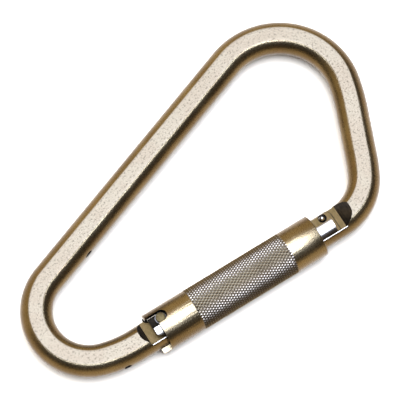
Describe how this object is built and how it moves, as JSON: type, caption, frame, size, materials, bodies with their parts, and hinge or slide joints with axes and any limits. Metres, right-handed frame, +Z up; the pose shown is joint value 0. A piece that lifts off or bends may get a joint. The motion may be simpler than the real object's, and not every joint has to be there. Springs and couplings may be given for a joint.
{
  "type": "locking carabiner",
  "caption": "Large steel offset-D carabiner with a pivoting sprung gate, a knurled slide-and-turn locking sleeve and a hooked nose.",
  "frame": {"origin": "centre of the bounding box in the plane of the frame, at its lowest point, which is the sleeve's underside when the carabiner lies flat", "axes": "+X along the straight spine, towards the gate's nose end; +Y from the gate towards the spine; +Z up, out of the frame's front flat"},
  "size_m": [0.2175, 0.1126, 0.0218],
  "materials": {
    "plated_frame": "yellow zinc plating over a fine blasted flat",
    "plated_sleeve": "satin yellow zinc plating, diamond knurl in the middle",
    "milled_steel": "milled steel under yellow zinc plating",
    "spring_steel": "plain hardened steel, lightly oiled"
  },
  "bodies": {
    "frame": {"frame": "plated_frame"},
    "gate": {"gate_barrel": "milled_steel", "hinge_rivet": "milled_steel", "hinge_washer": "spring_steel", "latch_pin": "spring_steel", "gate_return_spring": "spring_steel", "snap_ring": "spring_steel", "spring_seat_washer": "spring_steel", "sleeve_spring": "spring_steel"},
    "push_rod": {"push_rod": "spring_steel"},
    "thrust": {"thrust_washer": "spring_steel"},
    "sleeve": {"locking_sleeve": "plated_sleeve", "sleeve_end_bush": "milled_steel"}
  },
  "joints": [
    {"name": "gate_swing", "type": "hinge", "parent": "frame", "child": "gate", "pos_m": [-0.0581, -0.00867, 0.0109], "axis": [0, 0, 1], "range_deg": [0, 42], "stiffness_Nm_per_rad": 0.45, "springref_deg": -20.05},
    {"name": "push_rod_travel", "type": "slide", "parent": "gate", "child": "push_rod", "axis": [0.9403, -0.3404, 0], "range_m": [0, 0.0016], "deforming": ["gate_return_spring"]},
    {"name": "sleeve_slide", "type": "slide", "parent": "gate", "child": "thrust", "axis": [0.9403, -0.3404, 0], "range_m": [0, 0.0053], "stiffness_N_per_m": 800, "springref_m": -0.006, "deforming": ["sleeve_spring"]},
    {"name": "sleeve_twist", "type": "hinge", "parent": "thrust", "child": "sleeve", "pos_m": [-0.05943, -0.01234, 0.0109], "axis": [-0.9403, 0.3404, 0], "range_deg": [0, 90], "stiffness_Nm_per_rad": 0.05, "springref_deg": -28.65}
  ],
  "couplings": [
    {"joint": "push_rod_travel", "follows": "gate_swing", "m_per_rad": 0.002182}
  ]
}
